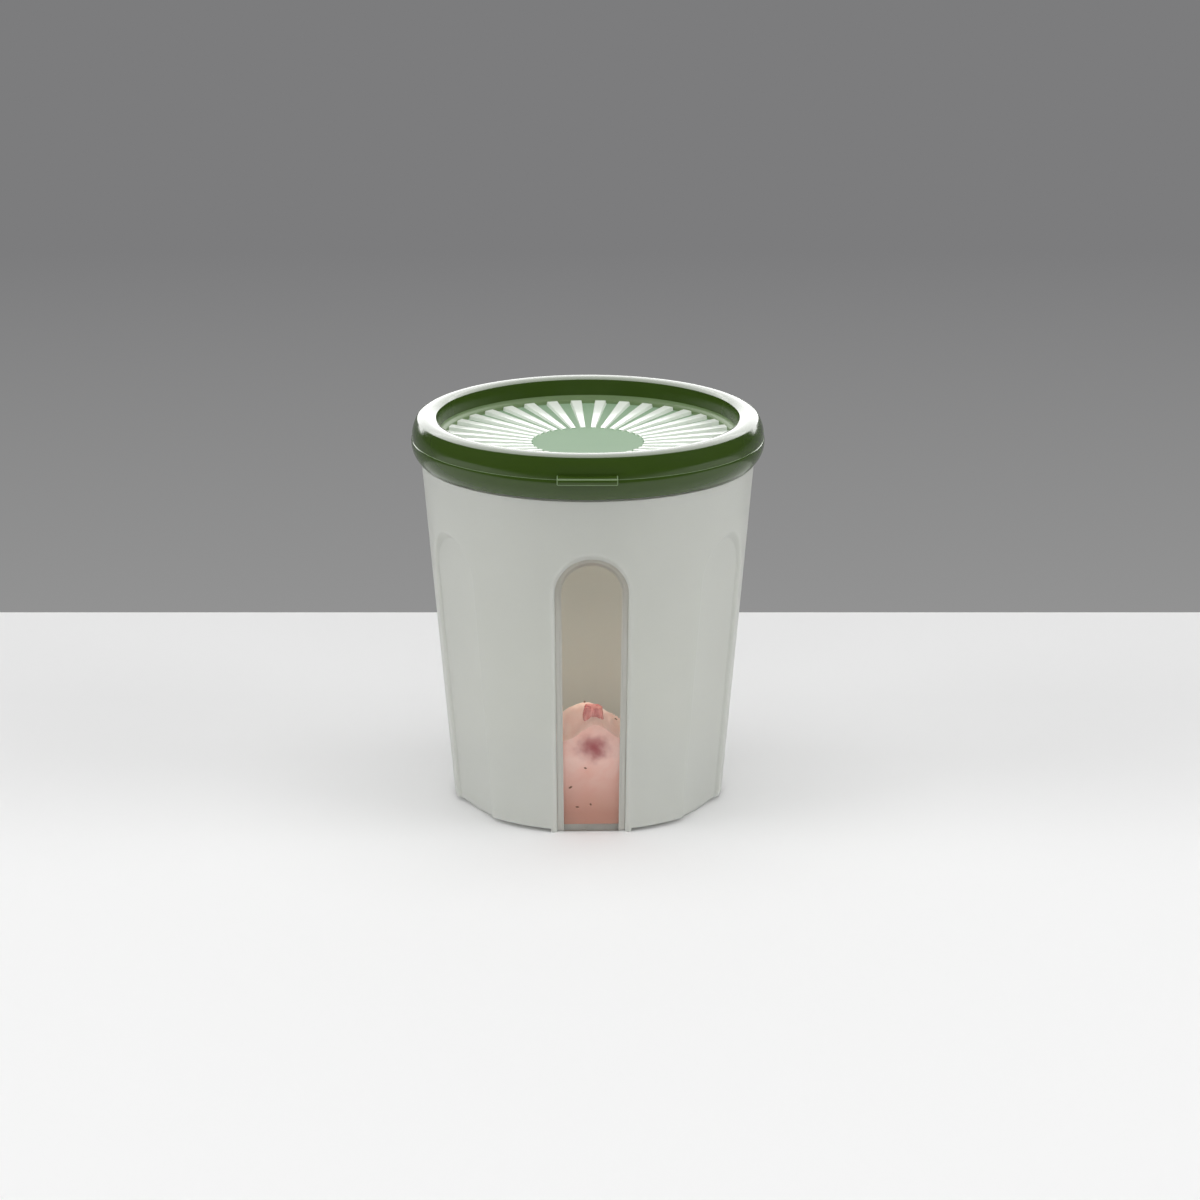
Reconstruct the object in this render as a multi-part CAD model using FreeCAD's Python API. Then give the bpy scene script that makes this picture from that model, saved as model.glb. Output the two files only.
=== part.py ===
import FreeCAD, Part

import math
import os

from FreeCAD import Matrix, Placement, Vector

# A round snack cup, in millimetres: a tapered, fluted wall with a clear window down its
# front, a press-on lid with a ribbed sunk top, and yogurt with strawberry in the bottom.
# The origin is on the cup's axis, on the surface it stands on; +Z is up and -Y the front.

# Cup: overall
foot_radius = 35.5          # outside of the wall where it stands
flare = 7.95                # how much wider the wall is just under the lid
shoulder_height = 91.3      # top of the tapered wall
wall = 1.5                  # thickness of the tapered wall
floor_top = 2.0             # upper face of the cup's floor
floor_underside = 0.6       # lower face of the floor, inside the standing ring

# Cup: neck under the lid
neck_step = 0.95            # width of the shoulder that the lid's skirt sits over
neck_wall = 1.4
neck_height = 10.7          # from the shoulder to the lip
bead = 0.5                  # how far the lip's snap bead stands out
bead_height = 3.4           # from the bead's underside to the lip

# Cup: foot
ring_inset = 2.5            # the standing ring's outside, in from the wall's
ring_width = 2.4
skirt_gap = 1.1             # the wall's lower edge above the table
foot_half_angle = 16.9      # the wall reaches the table only this near the window

# Flutes: sunk flat panels with a round arch at the top and sloped sides
flute_count = 6
flute_depth = 2.0           # at the middle, square to the wall
flute_head = 16.2           # from the shoulder down to the arch's crown
flute_half_foot = 8.7       # half width of the flat panel at the foot
flute_half_arch = 9.4       # half width where the arch springs, and the arch's radius
flute_slope = 45.0          # of the sides, in degrees from the panel
flute_blend = 0.62          # how much wider the panel's back is, to keep the wall's thickness

# Window: a clear panel that closes the front flute
window_angle = 1.5          # the front flute's turn to the right
window_clearance = 0.05
window_lift = 0.2           # lower edge above the table
window_edge = 0.8           # thickness of the thin border
window_border = 0.95        # width of the border round the raised field
window_bevel = 0.6
window_sunk = 0.15          # the field's face below the flute's panel

# Lid
lid_clearance = 0.2         # to the neck, inside and out
lid_wall = 1.5              # thickness of the skirt
lid_lift = 0.7              # the skirt's lower edge above the shoulder
lid_overhang = 2.55         # the widest line beyond the cup's shoulder
lid_edge_overhang = 0.75    # the lower edge beyond the cup's shoulder
lid_skin = 1.6              # thickness over the cup's lip
grip_height = 1.0           # the skirt's lowest part, which closes on the neck
grip_blend = 2.0            # height over which the skirt opens out above that
snap_below = 1.0            # the snap ring's top under the cup's bead
snap_reach = 0.1            # how much wider the snap ring is than the grip
snap_height = 0.6
snap_blend = 0.8
bead_room = 0.8             # between the cup's bead and the skirt
parting_height = 5.5        # widest line above the skirt's lower edge
parting_step = 0.2          # ledge where the lower skirt stands proud
rim_dome = 0.75             # the rim's edges below its crest
rim_round = 1.6             # from the widest line in to the dome's outer edge
rim_drop = 4.6              # from the crest down to where the rounded shoulder ends
rim_shoulder_bulge = 0.22   # of that shoulder, out from the straight line
plug_wall = 1.4             # wall of the sunk top, inside the neck
plug_draft = 0.2
recess_depth = 5.85         # rim to the ribs' outer ends
recess_fillet = 1.4
recess_draft = 0.5          # how much narrower the recess is at the bottom
dish = 1.7                  # the ribs' inner ends below their outer ends
disc_radius = 14.5          # smooth centre
disc_sink = 0.2             # centre below the ribs' inner ends
disc_thickness = 1.2
belly_depth = 0.18          # the lower skirt's bulge, as a share of its overhang
belly_level = 0.45          # and where it lies, as a share of its height

# Ribs of the lid's top, left standing between sunk sectors
rib_count = 36
rib_share = 0.47            # of each pitch
rib_depth_outer = 1.0
rib_depth_inner = 0.5
pocket_margin = 0.1         # between the sunk sectors and the fillet round them

# Tab at the front of the lid
tab_half_width = 7.7
tab_reach = 1.6             # beyond the widest line
tab_height = 1.7            # at its front edge
tab_rise = 0.5              # how much higher it is at the root
tab_below = 0.9             # lower face below the parting line
tab_corner = 0.7
tab_root = 1.2              # how far it reaches into the skirt

# Contents
fill_height = 25.0          # level of the yogurt behind the window
fill_fall = 0.29            # how fast the level falls from there to the back
fill_clearance = 0.1        # to the cup and the window
strawberry_clearance = 0.05
top_berry = (6.4, 4.6, 4.2)        # width, depth and height of the piece on top
top_berry_back = 4.6        # its middle, behind the window
top_berry_rise = -0.2       # its middle, above the yogurt
front_berry = (7.2, 3.4, 5.4)      # the same sizes of the piece behind the window
front_berry_gap = 0.5       # yogurt between the window and that piece
front_berry_drop = 1.6      # its middle, below that level

FRONT = -90.0               # the front's direction about +Z, in degrees from +X
CLEAR = 4.0                 # how far a cutter reaches past what it cuts


# ---- values that follow from the ones above ----
shoulder_radius = foot_radius + flare
slope = flare / shoulder_height
ring_outer = foot_radius - ring_inset
ring_inner = ring_outer - ring_width
lip_z = shoulder_height + neck_height
neck_radius = shoulder_radius - neck_step
neck_inner = neck_radius - neck_wall
slant = math.hypot(1.0, slope)
flute_top = (shoulder_height - flute_head) * slant

lid_bottom = shoulder_height + lid_lift
lid_top = lip_z + lid_skin
lid_radius = shoulder_radius + lid_overhang
parting_z = lid_bottom + parting_height
plug_outer = neck_inner - lid_clearance
recess_radius = plug_outer - plug_wall
recess_z = lid_top - recess_depth


def ring_solid(points, arcs=None, angle=360.0):
    """Turn a closed outline of (radius, height) points about the axis. arcs gives, for the
    edge that starts at a point, a third point which makes that edge an arc."""
    arcs = arcs or {}
    edges = []
    for i, (r, z) in enumerate(points):
        start = Vector(r, 0, z)
        end_r, end_z = points[(i + 1) % len(points)]
        end = Vector(end_r, 0, end_z)
        if i in arcs:
            middle = Vector(arcs[i][0], 0, arcs[i][1])
            edges.append(Part.Arc(start, middle, end).toShape())
        else:
            edges.append(Part.LineSegment(start, end).toShape())
    face = Part.Face(Part.Wire(edges))
    return face.revolve(Vector(0, 0, 0), Vector(0, 0, 1), angle)


def wall_placement(angle, depth):
    """Local frame of a flute: X across it, Y up along the wall, Z out of the wall, with the
    XY plane this depth under the wall. angle turns it to the right of the front."""
    turn = math.radians(FRONT + angle)
    out = Vector(math.cos(turn), math.sin(turn), 0)
    across = Vector(-out.y, out.x, 0)
    up = (out * slope + Vector(0, 0, 1)) * (1 / slant)
    normal = (out - Vector(0, 0, slope)) * (1 / slant)
    origin = out * foot_radius - normal * depth
    return Placement(Matrix(
        across.x, up.x, normal.x, origin.x,
        across.y, up.y, normal.y, origin.y,
        across.z, up.z, normal.z, origin.z,
        0, 0, 0, 1,
    ))


def arch_wire(grow, height):
    """The flute's outline grown by this much, at this height over its panel."""
    half_foot = flute_half_foot + grow
    half_arch = flute_half_arch + grow
    spring = flute_top - flute_half_arch
    left_foot = Vector(-half_foot, -CLEAR, height)
    left_spring = Vector(-half_arch, spring, height)
    crown = Vector(0, spring + half_arch, height)
    right_spring = Vector(half_arch, spring, height)
    right_foot = Vector(half_foot, -CLEAR, height)
    return Part.Wire([
        Part.LineSegment(left_foot, left_spring).toShape(),
        Part.Arc(left_spring, crown, right_spring).toShape(),
        Part.LineSegment(right_spring, right_foot).toShape(),
        Part.LineSegment(right_foot, left_foot).toShape(),
    ])


def arch_block(low, high, low_grow, high_grow):
    """A solid between two such outlines, in the flute's local frame."""
    wires = [arch_wire(low_grow, low), arch_wire(high_grow, high)]
    return Part.makeLoft(wires, True, True)


def flute_angles():
    """The front flute first, turned with the window, then the rest at an even pitch."""
    pitch = 360.0 / flute_count
    return [window_angle] + [i * pitch for i in range(1, flute_count)]


def flute_blocks(depth, grow):
    """One block for each flute, whose inner face lies this deep under the wall."""
    reach = depth + CLEAR
    spread = reach * math.tan(math.radians(90.0 - flute_slope))
    blocks = []
    for angle in flute_angles():
        block = arch_block(0.0, reach, grow, grow + spread)
        block.Placement = wall_placement(angle, depth)
        blocks.append(block)
    return blocks


def cavity(clearance, top):
    """The cup's inside up to this height, smaller all round by the clearance."""
    low = floor_top + clearance
    inset = wall * slant + clearance
    radius_low = foot_radius + slope * low - inset
    radius_top = neck_inner - clearance
    bend = (radius_top + inset - foot_radius) / slope
    if top > bend:
        points = [(0, low), (radius_low, low), (radius_top, bend), (radius_top, top), (0, top)]
    else:
        radius_at_top = foot_radius + slope * top - inset
        points = [(0, low), (radius_low, low), (radius_at_top, top), (0, top)]
    inside = ring_solid(points)
    return inside.cut(flute_blocks(flute_depth + wall + clearance, flute_blend + clearance))


def window_slot():
    """The opening that the window fills, through the front flute's panel and wall."""
    slot = arch_block(-wall, CLEAR, 0.0, 0.0)
    slot.Placement = wall_placement(window_angle, flute_depth)
    return slot


def make_cup():
    bead_low = lip_z - bead_height
    outside = ring_solid([
        (0, 0),
        (foot_radius, 0),
        (shoulder_radius, shoulder_height),
        (neck_radius, shoulder_height),
        (neck_radius, bead_low),
        (neck_radius + bead, bead_low + 2 * bead),
        (neck_radius + bead, lip_z - bead),
        (neck_radius, lip_z),
        (0, lip_z),
    ])
    cup = outside.cut(flute_blocks(flute_depth, 0.0))
    cup = cup.cut(cavity(0.0, lip_z + CLEAR))
    cup = cup.cut(window_slot())
    below = Vector(0, 0, -CLEAR)
    cup = cup.cut(Part.makeCylinder(ring_inner, floor_underside + CLEAR, below))
    sweep = 360.0 - 2 * foot_half_angle
    under_wall = Part.makeCylinder(
        foot_radius + CLEAR, skirt_gap + CLEAR, below, Vector(0, 0, 1), sweep
    )
    start = FRONT + window_angle + foot_half_angle
    under_wall.rotate(Vector(0, 0, 0), Vector(0, 0, 1), start)
    ring = Part.makeCylinder(ring_outer, skirt_gap + CLEAR, below)
    return cup.cut(under_wall.cut(ring))


def make_window():
    """A thin border all round a thicker, bevelled field."""
    border = arch_block(-wall, window_edge - wall, -window_clearance, -window_clearance)
    inset = -window_clearance - window_border
    face = -window_sunk
    field = arch_block(-wall, face - window_bevel, inset, inset)
    bevel = arch_block(face - window_bevel, face, inset, inset - window_bevel)
    panel = border.fuse([field, bevel]).removeSplitter()
    panel.Placement = wall_placement(window_angle, flute_depth)
    reach = shoulder_radius + CLEAR
    table = Part.makeCylinder(reach, window_lift + CLEAR, Vector(0, 0, -CLEAR))
    return panel.cut(table)


def lid_tab():
    """A short lifting lip on the parting line: flat below, sloping down to its front."""
    low = parting_z - tab_below
    front = -(lid_radius + tab_reach)
    root = -(lid_radius - tab_root)
    points = [
        Vector(-tab_half_width, root, low),
        Vector(-tab_half_width, front, low),
        Vector(-tab_half_width, front, low + tab_height),
        Vector(-tab_half_width, root, low + tab_height + tab_rise),
    ]
    face = Part.Face(Part.makePolygon(points + [points[0]]))
    tab = face.extrude(Vector(2 * tab_half_width, 0, 0))
    front_edges = []
    for edge in tab.Edges:
        if abs(edge.BoundBox.YMin - front) < 1e-6 and abs(edge.BoundBox.YMax - front) < 1e-6:
            front_edges.append(edge)
    return tab.makeFillet(tab_corner, front_edges)


def make_lid():
    edge_r = shoulder_radius + lid_edge_overhang
    skirt_in = neck_radius + lid_clearance
    upper_r = lid_radius - parting_step
    dome_r = lid_radius - rim_round
    dome_z = lid_top - rim_dome
    shoulder_z = lid_top - rim_drop
    recess_low_r = recess_radius - recess_draft
    rib_in_z = recess_z - dish
    disc_z = rib_in_z - disc_sink
    skirt_r = upper_r - lid_wall
    snap_r = skirt_in + snap_reach
    snap_top = lip_z - bead_height - snap_below
    snap_low = snap_top - snap_height
    bead_r = neck_radius + bead + bead_room
    points = [
        (0, disc_z),
        (disc_radius, disc_z),
        (disc_radius, rib_in_z),
        (recess_low_r - recess_fillet, recess_z),
        (recess_low_r, recess_z + recess_fillet),
        (recess_radius, dome_z),
        (dome_r, dome_z),
        (upper_r, shoulder_z),
        (upper_r, parting_z),
        (lid_radius, parting_z - parting_step),
        (edge_r, lid_bottom),
        (skirt_in, lid_bottom),
        (skirt_in, lid_bottom + grip_height),
        (skirt_r, lid_bottom + grip_height + grip_blend),
        (skirt_r, snap_low - snap_blend),
        (snap_r, snap_low),
        (snap_r, snap_top),
        (bead_r, snap_top + snap_blend),
        (bead_r, lip_z),
        (plug_outer, lip_z),
        (plug_outer - plug_draft, recess_z - disc_thickness),
        (disc_radius, rib_in_z - disc_sink - disc_thickness),
        (0, disc_z - disc_thickness),
    ]
    bend = 1 - math.sqrt(0.5)          # how far an arc's middle lies in from its corner
    fillet_mid = (recess_low_r - recess_fillet * bend, recess_z + recess_fillet * bend)
    crest = ((recess_radius + dome_r) / 2, lid_top)
    shoulder_mid = (
        (dome_r + upper_r) / 2 + rim_shoulder_bulge,
        (dome_z + shoulder_z) / 2,
    )
    belly_mid = (
        lid_radius - (lid_radius - edge_r) * belly_depth,
        lid_bottom + (parting_z - lid_bottom) * belly_level,
    )
    arcs = {3: fillet_mid, 5: crest, 6: shoulder_mid, 9: belly_mid}
    lid = ring_solid(points, arcs)

    pocket_angle = 360.0 / rib_count * (1 - rib_share)
    pocket_outer = recess_low_r - recess_fillet - pocket_margin
    pocket = ring_solid(
        [
            (disc_radius, rib_in_z - rib_depth_inner),
            (pocket_outer, recess_z - rib_depth_outer),
            (pocket_outer, recess_z + recess_fillet),
            (disc_radius, recess_z + recess_fillet),
        ],
        angle=pocket_angle,
    )
    pockets = []
    for i in range(rib_count):
        copy = pocket.copy()
        start = FRONT - pocket_angle / 2 + i * 360.0 / rib_count
        copy.rotate(Vector(0, 0, 0), Vector(0, 0, 1), start)
        pockets.append(copy)
    lid = lid.cut(pockets)
    return lid.fuse(lid_tab()).removeSplitter()


def yogurt_height(x, y):
    """The uneven level: heaped behind the window in soft mounds and falling to the back."""
    behind = y - window_inner_y(fill_height)
    mounds = [
        (1.2, 8.5, 10.0, 6.5),
        (-6.0, 8.5, 3.2, 4.5),
        (10.0, 6.0, 2.4, 4.5),
        (2.0, 0.0, 2.6, 4.5),
        (-13.0, 20.0, 1.5, 8.0),
        (14.0, 34.0, 1.5, 9.0),
    ]
    height = fill_height - fill_fall * behind
    for mound_x, mound_behind, rise, spread in mounds:
        distance = ((x - mound_x) ** 2 + (behind - mound_behind) ** 2) / spread ** 2
        height += rise * math.exp(-distance)
    height += 0.5 * math.sin(x * 0.42 + 0.6) * math.cos(y * 0.36 - 0.4)
    return height


def window_inner_y(height):
    """Where the window's inner face crosses the front line at this height."""
    return -(foot_radius + slope * height - (flute_depth + wall) * slant)


def space_above_yogurt():
    """Everything over the yogurt's surface, out past the cup's wall."""
    steps = 20
    reach = shoulder_radius
    grid = []
    for i in range(steps + 1):
        x = -reach + 2 * reach * i / steps
        row = []
        for j in range(steps + 1):
            y = -reach + 2 * reach * j / steps
            row.append(Vector(x, y, yogurt_height(x, y)))
        grid.append(row)
    surface = Part.BSplineSurface()
    surface.interpolate(grid)
    return surface.toShape().extrude(Vector(0, 0, shoulder_height))


def berry(centre, sizes, turn, grow):
    """A diced strawberry piece: a wedge-shaped block with rounded edges."""
    across, thick, tall = sizes
    w = across / 2 + grow
    t = thick / 2 + grow
    low = -tall / 2 - grow
    high = tall / 2 + grow
    lower = Part.makePolygon([
        Vector(-w, -t, low), Vector(w * 0.75, -t, low),
        Vector(w, t * 0.8, low), Vector(-w * 0.6, t, low), Vector(-w, -t, low),
    ])
    upper = Part.makePolygon([
        Vector(-w * 0.7, -t * 0.8, high), Vector(w * 0.9, -t * 0.9, high),
        Vector(w * 0.6, t * 0.5, high), Vector(-w * 0.5, t * 0.7, high),
        Vector(-w * 0.7, -t * 0.8, high),
    ])
    block = Part.makeLoft([lower, upper], True, True)
    block = block.makeFillet(min(tall, thick) * 0.18, block.Edges)
    block.rotate(Vector(0, 0, 0), Vector(0, 0, 1), turn)
    block.translate(centre)
    return block


def make_strawberries(grow):
    """One piece lies on the tall mound, the other is pressed in just behind the window."""
    top_x = 1.0
    top_y = window_inner_y(fill_height) + top_berry_back
    top_z = yogurt_height(top_x, top_y) + top_berry_rise
    top = berry(Vector(top_x, top_y, top_z), top_berry, 18.0, grow)
    front_z = fill_height - front_berry_drop
    nearest = window_inner_y(front_z - front_berry[2] / 2) + front_berry_gap
    front_y = nearest + front_berry[1] / 2
    front = berry(Vector(1.4, front_y, front_z), front_berry, 2.0, grow)
    return top, front


def make_yogurt():
    yogurt = cavity(fill_clearance, shoulder_height / 2 + fill_height)
    yogurt = yogurt.cut(space_above_yogurt())
    return yogurt.cut(list(make_strawberries(strawberry_clearance)))


def export(shape, node):
    solids = shape.Solids
    print(node, len(solids), "solid, valid:", shape.isValid(), round(shape.Volume, 1), "mm3")
    if len(solids) == 1:
        shape = solids[0]
    shape.exportStep("parts/" + node + ".step")


os.makedirs("parts", exist_ok=True)
top_piece, front_piece = make_strawberries(0.0)
export(make_cup(), "cup")
export(make_window(), "window")
export(make_lid(), "lid")
export(make_yogurt(), "yogurt")
export(top_piece, "strawberry_top")
export(front_piece, "strawberry_front")
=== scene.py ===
import math

import bmesh
import bpy
import numpy as np
from mathutils import Matrix, Vector, noise


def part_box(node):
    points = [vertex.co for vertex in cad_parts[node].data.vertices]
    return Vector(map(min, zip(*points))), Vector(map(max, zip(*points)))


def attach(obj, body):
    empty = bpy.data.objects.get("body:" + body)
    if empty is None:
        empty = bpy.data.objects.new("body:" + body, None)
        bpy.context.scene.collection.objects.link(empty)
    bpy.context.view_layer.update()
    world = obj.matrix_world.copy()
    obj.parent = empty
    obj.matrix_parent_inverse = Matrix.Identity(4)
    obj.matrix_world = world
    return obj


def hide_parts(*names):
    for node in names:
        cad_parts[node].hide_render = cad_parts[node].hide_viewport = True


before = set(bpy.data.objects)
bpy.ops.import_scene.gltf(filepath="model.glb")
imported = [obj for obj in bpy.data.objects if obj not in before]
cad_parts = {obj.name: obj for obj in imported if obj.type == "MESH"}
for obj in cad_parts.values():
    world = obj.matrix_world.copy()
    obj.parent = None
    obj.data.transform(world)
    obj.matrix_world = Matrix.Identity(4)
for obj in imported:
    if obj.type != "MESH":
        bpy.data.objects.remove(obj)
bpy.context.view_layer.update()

# ---------------------------------------------------------------------------
# The cup: a tapered tub with six sunk flutes, injection moulded in one shot from pale
# grey polypropylene with a fine spark-eroded grain. The lid closes on its plain neck.
# ---------------------------------------------------------------------------
MM = 0.001
FRONT = -90.0                      # the front's direction about +Z, in degrees from +X
CLEAR = 4.0                        # how far below the table the flutes' outline starts

cup_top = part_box("cup")[1] / MM
neck_height = 10.7
flare = 7.95
lip_z = round(cup_top.z, 2)
shoulder_radius = round(cup_top.x, 2)
shoulder_z = lip_z - neck_height
foot_radius = shoulder_radius - flare
slope = flare / shoulder_z
slant = math.hypot(1.0, slope)
cup_wall = 1.5
floor_top = 2.0
floor_under = 0.6
neck_radius = shoulder_radius - 0.95
neck_inside = neck_radius - 1.4
bead = 0.5
bead_drop = 3.4

ring_outside = foot_radius - 2.5   # the standing ring
ring_inside = ring_outside - 2.4
wall_gap = 1.1                     # the wall's lower edge above the table
foot_half_angle = 16.9             # the wall reaches the table this near the window

flute_count = 6
flute_depth = 2.0
flute_head = 16.2                  # from the shoulder down to the arch's crown
flute_half_foot = 8.7
flute_half_arch = 9.4
flute_back_grow = 0.62             # the panel's back is this much wider
flute_spring = (shoulder_z - flute_head) * slant - flute_half_arch
window_turn = 1.5                  # the window's turn to the right, in degrees
hollow_round = 0.5                 # fillet at the foot of a flute's sloped side
crest_round = 0.55                 # and the rounding at its top
slot_round = 0.15

leg_rows = 15
arch_steps = 48                    # a multiple of four, so that the sector's corners fall on a row
border_z = flute_spring / slant    # where the sector's border leaves the legs for the arch

leg = np.linspace(0.0, 1.0, leg_rows)
arc = np.radians(np.linspace(180.0, 0.0, arch_steps + 1))[1:-1]
row_side = np.concatenate([[-1], -np.ones(leg_rows), np.cos(arc), np.ones(leg_rows), [1]])
row_rise = np.concatenate([[0], np.zeros(leg_rows), np.sin(arc), np.zeros(leg_rows), [0]])
row_leg = np.concatenate([[0], leg, np.ones(len(arc)), leg[::-1], [0]])
row_turn = np.degrees(np.concatenate([[np.pi] * (leg_rows + 1), arc, [0.0] * (leg_rows + 1)]))
row_foot = np.array([True] + [False] * (len(row_side) - 2) + [True])


def arch(grow, height, low=0.0):
    """The flute's outline, grown sideways, at a height over its panel: across, up, height."""
    height = height + np.zeros(len(row_side))
    sunk = (flute_depth - height) * slope
    start = slant * floor_top - sunk
    up = start + (flute_spring - start) * row_leg
    up = np.where(row_foot, slant * low - sunk, up)
    widening = (flute_half_arch - flute_half_foot) / (flute_spring + CLEAR)
    half = flute_half_foot + widening * (up + CLEAR)
    across = (half + grow) * row_side
    up = up + (flute_half_arch + grow) * row_rise
    return np.stack([across, up, height], axis=-1)


def spine(height, low=0.0):
    """The flute's middle line, which the rows of its panel start from."""
    points = arch(0.0, height, low)
    points[:, 0] = 0.0
    points[:, 1] = np.minimum(points[:, 1], flute_spring)
    return points


def on_cup(points, turn=0.0):
    """Flute coordinates to the cup's, for a flute turned this far to the right of the front."""
    angle = math.radians(FRONT + turn)
    out = np.array([math.cos(angle), math.sin(angle), 0.0])
    across = np.array([-out[1], out[0], 0.0])
    up = (out * slope + [0, 0, 1]) / slant
    normal = (out - [0, 0, slope]) / slant
    origin = out * foot_radius - normal * flute_depth
    return origin + points[..., :1] * across + points[..., 1:2] * up + points[..., 2:] * normal


def meet_cone(path, base):
    """The height at which a path that rises from the panel meets a cone of this foot radius."""
    low = np.full(len(row_side), -CLEAR)
    high = np.full(len(row_side), CLEAR)
    for _ in range(36):
        middle = (low + high) / 2
        points = on_cup(path(middle))
        beyond = np.hypot(points[:, 0], points[:, 1]) > base + slope * points[:, 2]
        high = np.where(beyond, middle, high)
        low = np.where(beyond, low, middle)
    return middle


def rounded(first, corner, last, steps):
    """Rows that turn a corner between two others, both of them included."""
    share = np.linspace(0.0, 1.0, steps + 1)
    return [first * (1 - s) ** 2 + corner * 2 * s * (1 - s) + last * s ** 2 for s in share]


def cone_rows(start, base, top, low, half_left, half_right):
    """Rows over the plain cone, from a flute's edge out to the sector's four-sided border."""
    angle = np.degrees(np.arctan2(start[:, 0], -start[:, 1]))
    corner = 45.0
    across = np.clip((180.0 - corner - row_turn) / (180.0 - 2 * corner), 0.0, 1.0)
    edge_angle = -half_left + (half_left + half_right) * across
    lift = np.minimum(np.minimum(row_turn, 180.0 - row_turn) / corner, 1.0)
    edge_z = floor_top + (border_z - floor_top) * row_leg + (top - border_z) * lift
    edge_z = np.where(row_foot, low, edge_z)
    rows = []
    for share in (0.12, 0.34, 0.62, 1.0):
        turn = np.radians(angle + (edge_angle - angle) * share)
        z = start[:, 2] + (edge_z - start[:, 2]) * share
        radius = base + slope * z
        rows.append(np.stack([radius * np.sin(turn), -radius * np.cos(turn), z], axis=-1))
    return rows


def flute_rows(panel, grow, base, top, low, edges, feet=False):
    """Rows of one sector, from its flute's middle out to its border, with the flute at the
    front. feet keeps the wall down to the table beside the flute."""
    near = 0.0 if feet else low
    lean = math.sqrt(0.5)
    fillet = hollow_round * math.tan(math.radians(22.5))

    def side(rise):
        return arch(grow + rise, panel + rise, near)

    rows = []
    edge = arch(grow, panel, near)
    if feet:
        rows += rounded(arch(grow, panel - slot_round, near), edge, side(slot_round), 2)
    else:
        middle = spine(panel, near)
        rows += [middle + (edge - middle) * share for share in (0.0, 0.5, 0.9)]
        rows += rounded(arch(grow - fillet, panel, near), edge, side(fillet * lean), 3)
    crest = meet_cone(lambda h: arch(grow + h - panel, h, near), base)
    crest_grow = grow + crest - panel

    def beyond(reach, foot):
        return arch(crest_grow + reach, meet_cone(
            lambda h: arch(crest_grow + reach, h, foot), base), foot)

    below = crest - panel - crest_round * lean
    rows += rounded(side(below), arch(crest_grow, crest, near), beyond(crest_round, near), 4)
    rows = [on_cup(row) for row in rows]
    if feet:
        reach = foot_radius * math.sin(math.radians(foot_half_angle))
        reach -= flute_half_foot + crest_grow[0]
        rows.append(on_cup(beyond(reach, near)))
        rows.append(on_cup(beyond(reach + 0.1, low)))
    return rows + cone_rows(rows[-1], base, top, low, *edges)


def turned(points, degrees):
    angle = math.radians(degrees)
    c, s = math.cos(angle), math.sin(angle)
    x, y, z = points[..., 0], points[..., 1], points[..., 2]
    return np.stack([x * c - y * s, x * s + y * c, z], axis=-1)


def lathe(profile, loop):
    """Loops of (radius, height) about the axis, in the directions of an existing loop."""
    away = loop[:, :2] / np.hypot(loop[:, 0], loop[:, 1])[:, None]
    return [np.column_stack([away * radius, np.full(len(loop), z)]) for radius, z in profile]


def weave(rows, closed=False):
    """Four-sided faces between rows of points. closed joins each row's end to its start."""
    count = len(rows[0])
    faces = []
    for i in range(len(rows) - 1):
        for j in range(count if closed else count - 1):
            k = (j + 1) % count
            faces.append((i * count + j, i * count + k, (i + 1) * count + k, (i + 1) * count + j))
    return np.concatenate(rows), faces


def solid_mesh(name, sheets, weld=0.004):
    """One closed mesh from sheets in millimetres, joined where their edges meet."""
    points, faces, start = [], [], 0
    for sheet_points, sheet_faces in sheets:
        points.append(sheet_points)
        faces += [tuple(i + start for i in face) for face in sheet_faces]
        start += len(sheet_points)
    mesh = bpy.data.meshes.new(name)
    mesh.from_pydata((np.concatenate(points) * MM).tolist(), [], faces)
    form = bmesh.new()
    form.from_mesh(mesh)
    bmesh.ops.remove_doubles(form, verts=form.verts, dist=weld * MM)
    bmesh.ops.dissolve_degenerate(form, edges=form.edges, dist=weld * MM / 4)
    bmesh.ops.recalc_face_normals(form, faces=form.faces)
    form.to_mesh(mesh)
    form.free()
    return mesh


def smooth(mesh, sharp_degrees):
    mesh.shade_smooth()
    mesh.set_sharp_from_angle(angle=math.radians(sharp_degrees))


def place(name, mesh, material, node_names):
    """The finished piece: it rides with the part and stands for its CAD nodes."""
    piece = bpy.data.objects.new(name, mesh)
    bpy.context.scene.collection.objects.link(piece)
    if material is not None:
        mesh.materials.clear()
        mesh.materials.append(material)
    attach(piece, "root")
    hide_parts(*node_names)
    return piece


def colour(code):
    """An sRGB hex colour as the linear values that a shader takes."""
    values = [int(code[i:i + 2], 16) / 255 for i in (1, 3, 5)]
    linear = [v / 12.92 if v <= 0.04045 else ((v + 0.055) / 1.055) ** 2.4 for v in values]
    return (*linear, 1.0)


def feed(tree, node, inputs):
    """Fills a node's inputs with values, or links them to sockets."""
    for name, value in inputs.items():
        if isinstance(value, bpy.types.NodeSocket):
            tree.links.new(value, node.inputs[name])
        else:
            node.inputs[name].default_value = value


def add(tree, kind, inputs=None, **settings):
    """Adds a node. settings are its properties; inputs go to feed."""
    made = tree.nodes.new(kind)
    for name, value in settings.items():
        setattr(made, name, value)
    feed(tree, made, inputs or {})
    return made


def new_material(name):
    """A material with its node tree and its shader."""
    material = bpy.data.materials.new(name)
    material.use_nodes = True
    return material, material.node_tree, material.node_tree.nodes["Principled BSDF"]


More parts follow.
